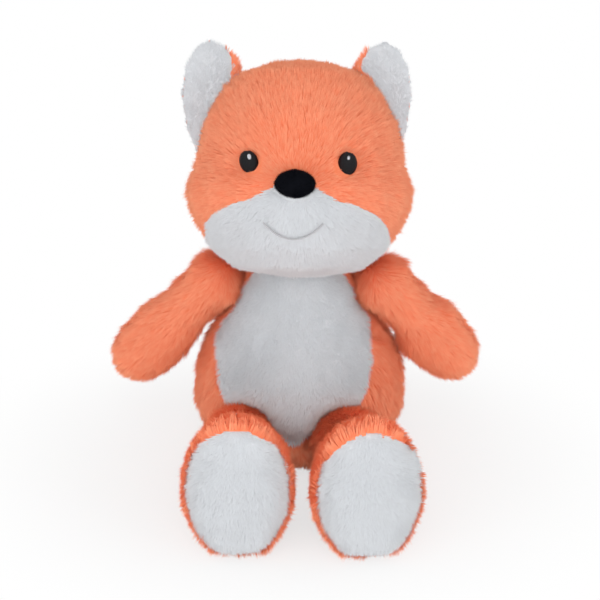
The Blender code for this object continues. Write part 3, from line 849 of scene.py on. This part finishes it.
def from_sole_middle(node, points):
    """The way to each point from a sole's middle, and how far that is where its edge is one."""
    low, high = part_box(node)
    reach = np.array((high - low) / 2.0)
    way = points - np.array((low + high) / 2.0)
    height = np.where(way[:, 2] < 0.0, SOLE_FOOT, 1.0) * reach[2]
    return way / reach, np.hypot(way[:, 0] / reach[0], way[:, 2] / height)


def down_the_sole(node, points):
    """Down a sole and out towards its edge, where the pile leans most."""
    out, share = from_sole_middle(node, points)
    return out * 0.6 - np.array(UP), SOLE_RISE * np.clip(1.0 - share * share, 0.0, 1.0)


def up_the_ear(points):
    """Up an ear, and out towards its edges."""
    local = in_head(points)
    middle = np.median(local[:, 0])
    way = np.zeros_like(local)
    way[:, 0] = (local[:, 0] - middle) / EAR_SPREAD
    way[:, 2] = 1.0
    return way @ np.array(HEAD_TURN).T


def middle_of(node):
    low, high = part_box(node)
    return (low + high) / 2.0


def nose_centre():
    return middle_of("nose")


def fabrics(settings):
    long_pile = Fabric(settings.orange_length, 0.3 * MM, 24.0, 7.0, 9.0, 0.3, 16)
    short_pile = Fabric(settings.white_length, 0.24 * MM, 48.0, 10.0, 18.0, 0.15, 10)
    return {
        "orange_plush": (long_pile, settings.orange_density / SQUARE_MM, orange_pile),
        "white_plush": (short_pile, settings.white_density / SQUARE_MM, white_pile),
    }


def distances(tree, points, most):
    """How far each point is from the tree's surface, counted no further than most."""
    found = (tree.find_nearest(point, most)[3] for point in points)
    return np.array([most if distance is None else distance for distance in found])


def away_from(tree, points, margin):
    """Which points lie further than the margin from the tree's surface."""
    return distances(tree, points, 2.0 * margin) > margin


def inner_rim(skin, points):
    """Which points of an ear lie on its rim towards the head's middle."""
    edge = in_head(points_of(skin.data))
    local = in_head(points)
    outwards = np.sign(edge[:, 0].mean())
    heights = np.linspace(edge[:, 2].min(), edge[:, 2].max(), RIM_SLICES)
    step = heights[1] - heights[0]
    low = [np.min(outwards * edge[np.abs(edge[:, 2] - height) < step, 0]) for height in heights]
    reach = outwards * local[:, 0] - np.interp(local[:, 2], heights, low)
    below = (heights[-1] - local[:, 2]) / RIM_LENGTH
    widest = np.where(below < 1.0, np.clip(below, 0.0, 1.0) ** 1.2,
                      np.clip(3.0 - 2.0 * below, 0.0, 1.0))
    return reach < RIM_WIDTH * widest


def owners_at(stuffed, tree, owners, points):
    """Which cover each point of the skin belongs to, with an even oval for a sole."""
    owned = np.array([owners[tree.find_nearest(point)[2]] for point in points], dtype="U32")
    for node in stuffed.covers:
        if "sole" in node:
            _, share = from_sole_middle(node, points)
            inside = (share < SOLE_EDGE) & (points[:, 1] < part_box(node)[1].y + SOLE_DEPTH)
            legs, leg_owners = search_tree([cover for cover in stuffed.covers if cover != node])
            for index in np.flatnonzero(~inside & (owned == node)):
                owned[index] = leg_owners[legs.find_nearest(points[index])[2]]
            owned[inside] = node
    return owned


def turn_to_sole(stuffed, axis, way, points):
    """Beside a sole, the long pile runs out from its middle and shows its side to the front."""
    sole = next(node for node in stuffed.covers if "sole" in node)
    tree, _ = search_tree([sole])
    share = 1.0 - distances(tree, points, STANDING_REACH)[:, None] / STANDING_REACH
    out = points - np.array(middle_of(sole))
    out -= (out @ axis)[:, None] * axis
    return unit(way) * (1.0 - share) + unit(out) * share, share * FACING_SHARE


def on_the_crown(normals):
    """How much of the crown's trim and rise each place on the head has, from its way up."""
    up = np.array(HEAD_TURN @ UP)
    return np.clip((normals @ up - 0.45) / 0.4, 0.0, 1.0)


def ring_round(skin, faces_kept):
    """Which points of the skin belong to the kept faces."""
    kept = np.zeros(len(skin.data.vertices), dtype=bool)
    for index in np.flatnonzero(faces_kept):
        kept[list(skin.data.polygons[index].vertices)] = True
    return kept


def trim_near_white(stuffed, node, points):
    """How much the long pile is cut down, and how much it stands up, beside a white cover."""
    white = [cover for cover in stuffed.covers if SLOT_OF[cover] == "white_plush"]
    if not white or node in white or not stuffed.filling:
        return 1.0, 0.0
    tree, _ = search_tree(white)
    apart = distances(tree, points, STANDING_REACH)
    trim = TRIMMED_SHARE + (1.0 - TRIMMED_SHARE) * np.clip(apart / TRIMMED_REACH, 0.0, 1.0)
    standing = STANDING_RISE * (1.0 - apart / STANDING_REACH) if "leg" in node else 0.0
    if stuffed.name == "head":
        from_nose = np.linalg.norm(points - np.array(nose_centre()), axis=1)
        beyond = np.clip(from_nose / BRIDGE_REACH - 0.35, 0.0, 1.0)
        trim *= BRIDGE_SHARE + (1.0 - BRIDGE_SHARE) * beyond
    return trim, standing


def take_roots(stuffed, node, skin, surface, near, ring, density, seed):
    """Where one cover's fibres grow, the normals there and how near another body is."""
    tree, owners = surface
    points, normals = scattered(skin, density, np.random.default_rng(seed), ring)
    owned = owners_at(stuffed, tree, owners, points)
    if not stuffed.filling:
        front_cover, back_cover = stuffed.covers
        rim = inner_rim(skin, points)
        owned[rim] = back_cover
        if node == back_cover:
            front, _ = search_tree([front_cover])
            owned[~rim & ~away_from(front, points, EAR_EDGE)] = ""
    apart = distances(near, [tree.find_nearest(point)[0] for point in points], CREASE_REACH)
    kept = (owned == node) & (apart > SOCKET_REACH)
    return points[kept], normals[kept], apart[kept]


def lay_pile(stuffed, node, roots, fabric, flow, joint, seed):
    """One cover's fibres, combed as they lie on its body."""
    points, normals, apart = roots
    if "sole" in node:
        way, standing = down_the_sole(node, points)
        return comb(points, normals, way, fabric, seed, 1.0, standing)
    upright = CREASE_RISE * np.clip(1.0 - apart / CREASE_REACH, 0.0, 1.0)
    trim, standing = trim_near_white(stuffed, node, points)
    way = flow(points)
    if stuffed.name == "head":
        crown = on_the_crown(normals)
        trim = trim * (1.0 + (CROWN_SHARE - 1.0) * crown)
        standing = standing + CROWN_RISE * crown
    if "leg" not in node:
        return comb(points, normals, way, fabric, seed, trim, upright + standing)
    axis = np.array(joint[1])
    way, facing = turn_to_sole(stuffed, axis, way, points)
    combed = comb(points, normals, way, fabric, seed, trim, upright + standing)
    return combed._replace(normals=unit(normals * (1.0 - facing) + axis * facing))


def keep_clear(fibres, areas):
    """The fibres that stay clear of each area by its margin."""
    for area, margin in areas:
        middles = (fibres.tips + fibres.roots) / 2.0
        free = np.all([away_from(area, places, margin)
                       for places in (fibres.tips, fibres.roots, middles)], axis=0)
        fibres = fibres._replace(roots=fibres.roots[free], normals=fibres.normals[free],
                                 tips=fibres.tips[free], tone=fibres.tone[free])
    return fibres


def dress(settings, stuffed, flow, clear=(), thin=(), bends=False):
    """Make each cover of one stuffed body: its backing, its pile and where they belong."""
    skin = make_skin(stuffed)
    surface = outer_tree(stuffed)
    near = beside(stuffed)
    joint = limb_line(stuffed) if bends else None
    centres = np.array([face.center for face in skin.data.polygons])
    owner_of_face = owners_at(stuffed, *surface, centres)
    thickness = BACKING_THICKNESS if stuffed.filling else EAR_BACKING_THICKNESS
    for node in stuffed.covers:
        fabric, density, material = fabrics(settings)[SLOT_OF[node]]
        seed = 100 + sum(ord(letter) for letter in node)
        ring = None
        if node in thin:
            density *= HIDDEN_SHARE
            fabric = fabric._replace(half_width=fabric.half_width * HIDDEN_WIDTH)
        if stuffed.filling:
            ring = ring_round(skin, owner_of_face == node)
        else:
            fabric = fabric._replace(length=fabric.length * EAR_PILE_SHARE)
        density *= 1.0
        roots = take_roots(stuffed, node, skin, surface, near, ring, density, seed)
        combed = keep_clear(lay_pile(stuffed, node, roots, fabric, flow, joint, seed), clear)
        grown = fibre_mesh(combed)
        grown[0][:, 2] = np.maximum(grown[0][:, 2], FLOOR_CLEARANCE)
        backing = backing_mesh(node + "_backing", skin, owner_of_face == node, thickness, seed)
        piece = piece_from(node + "_plush", [backing, grown], material(settings, node + "_pile"))
        attach(piece, stuffed.body, node, joint)
    if stuffed.filling:
        add_filling(stuffed, skin, joint)
    bpy.data.objects.remove(skin)


def add_filling(stuffed, skin, joint):
    """The lumpy fibre inside a body's covers."""
    filling = new_object(stuffed.filling + "_fibre", skin.data.copy())
    points = points_of(filling.data)
    normals = normals_of(filling.data)
    inside = BVHTree.FromPolygons(points.tolist(), triangles_of(filling.data).tolist())
    starts = points - normals * SURFACE_LIFT
    across = [inside.ray_cast(start, -normal)[3] or 0.0 for start, normal in zip(starts, normals)]
    lumps = sum(height * ripple(points, wave, 5 + place)
                for place, (wave, height) in enumerate(zip(LUMP_WAVES, LUMP_HEIGHTS)))
    depth = np.minimum(FILLING_DEPTH - BACKING_THICKNESS + lumps, np.array(across) * 0.35)
    place_points(filling.data, points - normals * depth[:, None])
    filling.data.shade_smooth()
    filling.data.materials.append(fibrefill_material(stuffed.filling + "_fibres"))
    attach(filling, stuffed.body, stuffed.filling, joint)


def round_about(line):
    """Two directions across a line on the head at each of its points, square to each other."""
    ways = unit(np.gradient(line, axis=0))
    first = unit(np.cross(ways, np.array(HEAD_TURN @ UP)))
    return first, np.cross(ways, first)


def tube(line, radius, sides=6):
    """A closed round tube along a line of points."""
    line = np.array(line)
    first, second = round_about(line)
    angles = 2.0 * pi * np.arange(sides) / sides
    turns = angles[None, :, None]
    ring = first[:, None] * np.cos(turns) + second[:, None] * np.sin(turns)
    points = (line[:, None] + ring * radius).reshape(-1, 3)
    faces = []
    for step in range(len(line) - 1):
        for side in range(sides):
            after = (side + 1) % sides
            low, high = step * sides, (step + 1) * sides
            faces.append((low + side, high + side, high + after))
            faces.append((low + side, high + after, low + after))
    end = (len(line) - 1) * sides
    for side in range(1, sides - 1):
        faces.append((0, side, side + 1))
        faces.append((end, end + side + 1, end + side))
    return points, np.array(faces)


def mesh_of(name, parts, material):
    """One smooth piece of closed tubes and pads, its faces turned outwards."""
    bm = bmesh.new()
    for points, faces in parts:
        made = [bm.verts.new(point) for point in points]
        for face in faces:
            bm.faces.new([made[index] for index in face])
    bmesh.ops.recalc_face_normals(bm, faces=bm.faces)
    mesh = bpy.data.meshes.new(name)
    bm.to_mesh(mesh)
    bm.free()
    mesh.materials.append(material)
    piece = new_object(name, mesh)
    piece.data.shade_smooth()
    return piece


def pad(centre, turn, sizes, segments=24, rings=12):
    """A closed ellipsoid with the given half sizes, as points and triangles."""
    bm = bmesh.new()
    bmesh.ops.create_uvsphere(bm, u_segments=segments, v_segments=rings, radius=1.0)
    bmesh.ops.triangulate(bm, faces=bm.faces)
    place = Matrix.Translation(centre) @ turn.to_4x4() @ Matrix.Diagonal((*sizes, 1.0))
    bm.transform(place)
    bm.verts.index_update()
    points = np.array([vertex.co for vertex in bm.verts])
    faces = np.array([[vertex.index for vertex in face.verts] for face in bm.faces])
    bm.free()
    return points, faces


def satin_patch(name, node, stitches, material):
    """An embroidered oval: stitches side by side across a low pad on the face."""
    width, height, dome, lift, pitch = stitches
    points = points_of(frame["nodes"][node].data)
    centre = Vector((points.max(axis=0) + points.min(axis=0)) / 2.0)
    tree, _ = search_tree(["face_cover"])
    _, outward, _, _ = tree.find_nearest(centre + (HEAD_CENTRE - centre).normalized() * 4.0 * MM)
    outward = (centre - HEAD_CENTRE).normalized() * 0.5 + outward * 0.5
    front = (HEAD_TURN @ FRONT) * 0.6 + outward * 0.4
    front.normalize()
    tilt = EYE_TILT if centre.x > HEAD_CENTRE.x else -EYE_TILT
    upward = HEAD_TURN @ Vector((sin(tilt), 0.0, cos(tilt)))
    upward = (upward - front * upward.dot(front)).normalized()
    across = upward.cross(front).normalized() * -1.0
    turn = Matrix((across, -front, upward)).transposed()
    middle = centre + front * (lift - dome)
    parts = [pad(middle, turn, (width * 0.97, dome * 0.94, height * 0.97))]
    for offset in np.arange(-height + pitch, height, pitch):
        reach = width * (1.0 - (offset / height) ** 2) ** 0.5
        line = []
        for share in np.linspace(-1.0, 1.0, 11):
            x = reach * share
            left = max(0.0, 1.0 - (x / width) ** 2 - (offset / height) ** 2)
            line.append(middle + turn @ Vector((x, -dome * left ** 0.5, offset + 0.1 * x)))
        parts.append(tube(line, pitch * 0.56))
    piece = mesh_of(name, parts, material)
    attach(piece, "head", node)


def mouth_line():
    """The mouth's arc on the muzzle, found by looking at the face from its front."""
    tree, _ = search_tree(["muzzle_panel"])
    line = []
    for share in np.linspace(-1.0, 1.0, MOUTH_POINTS):
        height = MOUTH_END_HEIGHT - MOUTH_SAG * (1.0 - share * share)
        start = HEAD_PLACE @ Vector((share * MOUTH_HALF_SPAN, -HEAD_REACH, height))
        place, normal, _, _ = tree.ray_cast(start, HEAD_TURN @ -FRONT)
        line.append(place + normal * 0.1 * MM)
    return line


def add_mouth(settings):
    """Two thin plies twisted round each other along the arc."""
    line = np.array(mouth_line())
    first, second = round_about(line)
    travelled = np.concatenate([[0.0], np.cumsum(np.linalg.norm(np.diff(line, axis=0), axis=1))])
    parts = []
    for ply in (0.0, pi):
        angle = travelled / settings.thread_twist * 2.0 * pi + ply
        around = first * np.cos(angle)[:, None] + second * np.sin(angle)[:, None]
        ply_line = line + around * settings.thread_radius * 0.6
        parts.append(tube(ply_line, settings.thread_radius * 0.62))
    piece = mesh_of(
        "mouth_thread_twist", parts,
        thread_material("mouth_thread_grey", linear(172, 171, 175), linear(204, 203, 207), 0.6),
    )
    attach(piece, "head", "mouth_thread")


def add_nose(settings):
    """A firm oval under short velvet."""
    mesh = frame["nodes"]["nose"].data
    local = in_head(points_of(mesh))
    low, high = local.min(axis=0), local.max(axis=0)
    reach = high - low
    sizes = Vector((reach[0] / 2.0, reach[2] * 0.46, reach[2] / 2.0)) - Vector((0.7, 0.5, 0.7)) * MM
    middle = Vector((low + high) / 2.0)
    middle.y = low[1] + sizes.y + 0.4 * MM
    centre = HEAD_PLACE @ middle
    points, faces = pad(centre, HEAD_TURN, sizes, 48, 24)
    holder = bpy.data.meshes.new("nose_form")
    holder.from_pydata(points.tolist(), [], faces.tolist())
    holder.update()
    form = new_object("nose_form", holder)
    seed = 41
    density = settings.velvet_density / SQUARE_MM
    roots, normals = scattered(form, density, np.random.default_rng(seed))
    fabric = Fabric(1.1 * MM, 0.1 * MM, 55.0, 12.0, 30.0, 0.2, 8)
    grown = fibre_mesh(comb(roots, normals, -outward_from_nose(roots), fabric, seed))
    places = flat_places(np.full(len(faces), 0.4), 0.1, 0.16)
    corners = triangles_of(holder)
    base = (points_of(holder), corners, normals_of(holder)[corners], places)
    bpy.data.objects.remove(form)
    piece = piece_from("nose_velvet", [base, grown], velvet_pile("nose_velvet_pile"))
    attach(piece, "head", "nose")


class FoxSettings(bpy.types.PropertyGroup):
    """What a user would change about the fox's fabrics."""

    orange: bpy.props.FloatVectorProperty(
        name="Orange pile", description="Colour of the long pile", subtype="COLOR",
        default=linear(252, 134, 90), min=0.0, max=1.0,
    )
    white: bpy.props.FloatVectorProperty(
        name="White pile", description="Colour of the short pile", subtype="COLOR",
        default=linear(217, 219, 222), min=0.0, max=1.0,
    )
    orange_length: bpy.props.FloatProperty(
        name="Orange pile length", description="Length of a fibre of the long pile",
        default=7.0 * MM, min=1.0 * MM, max=20.0 * MM, unit="LENGTH",
    )
    white_length: bpy.props.FloatProperty(
        name="White pile length", description="Length of a fibre of the short pile",
        default=3.4 * MM, min=1.0 * MM, max=20.0 * MM, unit="LENGTH",
    )
    orange_density: bpy.props.FloatProperty(
        name="Orange fibres", description="Fibres of the long pile on a square millimetre",
        default=3.1, min=0.1, max=10.0,
    )
    white_density: bpy.props.FloatProperty(
        name="White fibres", description="Fibres of the short pile on a square millimetre",
        default=4.5, min=0.1, max=12.0,
    )
    velvet_density: bpy.props.FloatProperty(
        name="Velvet fibres", description="Fibres of the nose's velvet on a square millimetre",
        default=11.0, min=0.1, max=30.0,
    )
    fill: bpy.props.FloatProperty(
        name="Filling", description="How tightly the toy is stuffed", default=0.75,
        min=0.0, max=1.0, subtype="FACTOR",
    )
    thread_radius: bpy.props.FloatProperty(
        name="Mouth thread radius", description="Radius of the mouth's twisted thread",
        default=0.42 * MM, min=0.1 * MM, max=3.0 * MM, unit="LENGTH",
    )
    thread_twist: bpy.props.FloatProperty(
        name="Mouth thread twist", description="Length of one turn of the mouth's thread",
        default=2.6 * MM, min=0.5 * MM, max=20.0 * MM, unit="LENGTH",
    )
    key_power: bpy.props.FloatProperty(
        name="Key light", description="Power of the large light above the front",
        default=1.1, min=0.0, max=100.0, unit="POWER",
    )
    front_power: bpy.props.FloatProperty(
        name="Front light", description="Power of the low light from the front",
        default=2.3, min=0.0, max=100.0, unit="POWER",
    )
    low_power: bpy.props.FloatProperty(
        name="Low light", description="Power of the small light near the floor in front",
        default=3.2, min=0.0, max=100.0, unit="POWER",
    )
    side_power: bpy.props.FloatProperty(
        name="Side lights", description="Power of each of the two low lights in front at the sides",
        default=3.0, min=0.0, max=100.0, unit="POWER",
    )
    back_power: bpy.props.FloatProperty(
        name="Back light", description="Power of the light behind the toy",
        default=3.5, min=0.0, max=100.0, unit="POWER",
    )
    sky: bpy.props.FloatProperty(
        name="Room light", description="Strength of the even light from all round",
        default=0.6, min=0.0, max=3.0,
    )


def stuffed_named(name):
    return next(row for row in BODIES if row.name == name)


def dress_limb(context, name, parting, thin):
    limb = stuffed_named(name)
    flow = along_limb(*limb_line(limb), parting)
    dress(context.scene.fox, limb, flow, thin=thin, bends=True)


class FOX_OT_head(bpy.types.Operator):
    """Dress the head in its orange and white covers"""

    bl_idname = "fox.head"
    bl_label = "Head"

    def execute(self, context):
        eyes, _ = search_tree(["eye_left", "eye_right"])
        mouth, _ = search_tree(["mouth_thread"])
        clear = ((eyes, EYE_MARGIN), (mouth, MOUTH_MARGIN))
        dress(context.scene.fox, stuffed_named("head"), outward_from_nose, clear=clear,
              thin=("head_back_left", "head_back_right"))
        return {"FINISHED"}


class FOX_OT_ears(bpy.types.Operator):
    """Dress both ears, white in front and orange behind"""

    bl_idname = "fox.ears"
    bl_label = "Ears"

    def execute(self, context):
        for ear in EARS:
            dress(context.scene.fox, ear, up_the_ear)
        return {"FINISHED"}


class FOX_OT_face(bpy.types.Operator):
    """Stitch the eyes, their glints and the mouth, and set the velvet nose"""

    bl_idname = "fox.face"
    bl_label = "Eyes, nose and mouth"

    def execute(self, context):
        settings = context.scene.fox
        for side in SIDES:
            dark = thread_material(
                f"eye_{side}_thread", linear(3, 3, 5), linear(14, 14, 20), 0.5, 0.0)
            satin_patch(f"eye_{side}_stitches", f"eye_{side}", EYE, dark)
            pale = thread_material(
                f"glint_{side}_thread", linear(176, 178, 184), linear(222, 224, 228), 0.5)
            satin_patch(f"eye_glint_{side}_stitches", f"eye_glint_{side}", GLINT, pale)
        add_nose(settings)
        add_mouth(settings)
        return {"FINISHED"}


class FOX_OT_torso(bpy.types.Operator):
    """Dress the torso in its side panels and white belly"""

    bl_idname = "fox.torso"
    bl_label = "Torso"

    def execute(self, context):
        dress(context.scene.fox, stuffed_named("torso"), down_the_torso,
              thin=("torso_left", "torso_right"))
        return {"FINISHED"}


class FOX_OT_arms(bpy.types.Operator):
    """Dress both arms"""

    bl_idname = "fox.arms"
    bl_label = "Arms"

    def execute(self, context):
        for side in SIDES:
            dress_limb(context, f"arm_{side}", FRONT, thin=(f"arm_{side}_back",))
        return {"FINISHED"}


class FOX_OT_legs(bpy.types.Operator):
    """Dress both legs and their white soles"""

    bl_idname = "fox.legs"
    bl_label = "Legs and soles"

    def execute(self, context):
        for side in SIDES:
            dress_limb(context, f"leg_{side}", UP, thin=(f"leg_{side}_outer",))
        return {"FINISHED"}


class FOX_OT_tail(bpy.types.Operator):
    """Dress the tail and its white tip"""

    bl_idname = "fox.tail"
    bl_label = "Tail"

    def execute(self, context):
        dress_limb(context, "tail", UP, thin=("tail_cover",))
        return {"FINISHED"}


class FOX_OT_stage(bpy.types.Operator):
    """Set the floor, the lights and the camera"""

    bl_idname = "fox.stage"
    bl_label = "Floor, lights and camera"

    def execute(self, context):
        settings = context.scene.fox
        add_floor()
        add_room_light(settings)
        for name, power, size, place in LAMPS:
            add_lamp(name, getattr(settings, power), size, place)
        add_camera()
        context.scene.view_settings.view_transform = "Standard"
        return {"FINISHED"}


def seen_directly(tree):
    """One for what the camera, a gloss or a clear surface sees, and nought for other light."""
    path = tree.node("LightPath")
    kinds = [tree.link(path, list(path.outputs.keys()).index(name))
             for name in ("Is Camera Ray", "Is Glossy Ray", "Is Transmission Ray")]
    total = kinds[0] + kinds[1] + kinds[2]
    return total.sum("MINIMUM", total, 1.0)


def add_floor():
    """A white floor that shows the toy's soft shadow near it and is plain white further out."""
    bpy.ops.object.select_all(action="DESELECT")
    bpy.ops.mesh.primitive_circle_add(vertices=96, radius=FLOOR_RADIUS, fill_type="NGON")
    floor = bpy.context.view_layer.objects.active
    floor.name = "floor"
    tree = Tree(bpy.data.materials.new("floor_white"))
    tree.set("Base Color", linear(250, 250, 250))
    tree.set("Roughness", 0.9)
    tree.set("Specular IOR Level", 0.1)
    place = tree.node("TexCoord")
    reach = tree.node("VectorMath", {"operation": "LENGTH"}, _0=tree.link(place, 3))
    away = tree.node("MapRange", {"interpolation_type": "SMOOTHSTEP"},
                     _0=tree.link(reach, 1), _1=FLOOR_FADE[0], _2=FLOOR_FADE[1])
    glow = tree.node("Emission", None, Color=(1.0, 1.0, 1.0), Strength=1.0)
    lifted = tree.link(away) * (1.0 - FLOOR_LIFT) + FLOOR_LIFT
    mixed = tree.node("MixShader", None, _0=lifted * seen_directly(tree))
    tree.tree.links.new(tree.shader.outputs[0], mixed.inputs[1])
    tree.tree.links.new(glow.outputs[0], mixed.inputs[2])
    tree.tree.links.new(mixed.outputs[0], tree.tree.nodes["Material Output"].inputs[0])
    floor.data.materials.append(tree.owner)


def add_room_light(settings):
    """Even light from all round, in front of a white background."""
    tree = Tree(bpy.data.worlds.new("white_room"), "Background")
    bpy.context.scene.world = tree.owner
    tree.set("Color", (1.0, 1.0, 1.0))
    tree.set("Strength", seen_directly(tree) * (1.0 - settings.sky) + settings.sky)


def add_lamp(name, power, size, place):
    """A large round lamp that faces the toy."""
    data = bpy.data.lights.new(name, "AREA")
    data.shape = "DISK"
    data.size = size
    data.energy = power
    lamp = bpy.data.objects.new(name, data)
    lamp.location = place
    aim = LAMP_TARGET - lamp.location
    lamp.rotation_euler = aim.to_track_quat("-Z", "Y").to_euler()
    bpy.context.scene.collection.objects.link(lamp)


def add_camera():
    data = bpy.data.cameras.new("camera")
    data.lens = CAMERA_LENS
    camera = bpy.data.objects.new("camera", data)
    back = Vector((0.0, -cos(CAMERA_HEIGHT), sin(CAMERA_HEIGHT)))
    camera.location = CAMERA_TARGET + back * CAMERA_DISTANCE
    camera.rotation_euler = (pi / 2.0 - CAMERA_HEIGHT, 0.0, 0.0)
    bpy.context.scene.collection.objects.link(camera)
    bpy.context.scene.camera = camera


class FOX_PT_panel(bpy.types.Panel):
    """The fox's settings and the pieces that can be made"""

    bl_label = "Plush fox"
    bl_idname = "FOX_PT_panel"
    bl_space_type = "VIEW_3D"
    bl_region_type = "UI"
    bl_category = "Plush fox"

    def draw(self, context):
        for name in FoxSettings.__annotations__:
            self.layout.prop(context.scene.fox, name)
        for operator in OPERATORS:
            self.layout.operator(operator.bl_idname)


OPERATORS = (
    FOX_OT_head, FOX_OT_ears, FOX_OT_face, FOX_OT_torso,
    FOX_OT_arms, FOX_OT_legs, FOX_OT_tail, FOX_OT_stage,
)
CLASSES = (FoxSettings, *OPERATORS, FOX_PT_panel)


def register():
    for item in CLASSES:
        bpy.utils.register_class(item)
    bpy.types.Scene.fox = bpy.props.PointerProperty(type=FoxSettings)


def unregister():
    del bpy.types.Scene.fox
    for item in reversed(CLASSES):
        bpy.utils.unregister_class(item)


def main():
    register()
    bpy.ops.fox.head()
    bpy.ops.fox.ears()
    bpy.ops.fox.face()
    bpy.ops.fox.torso()
    bpy.ops.fox.arms()
    bpy.ops.fox.legs()
    bpy.ops.fox.tail()
    bpy.ops.fox.stage()


if __name__ == "__main__":
    main()
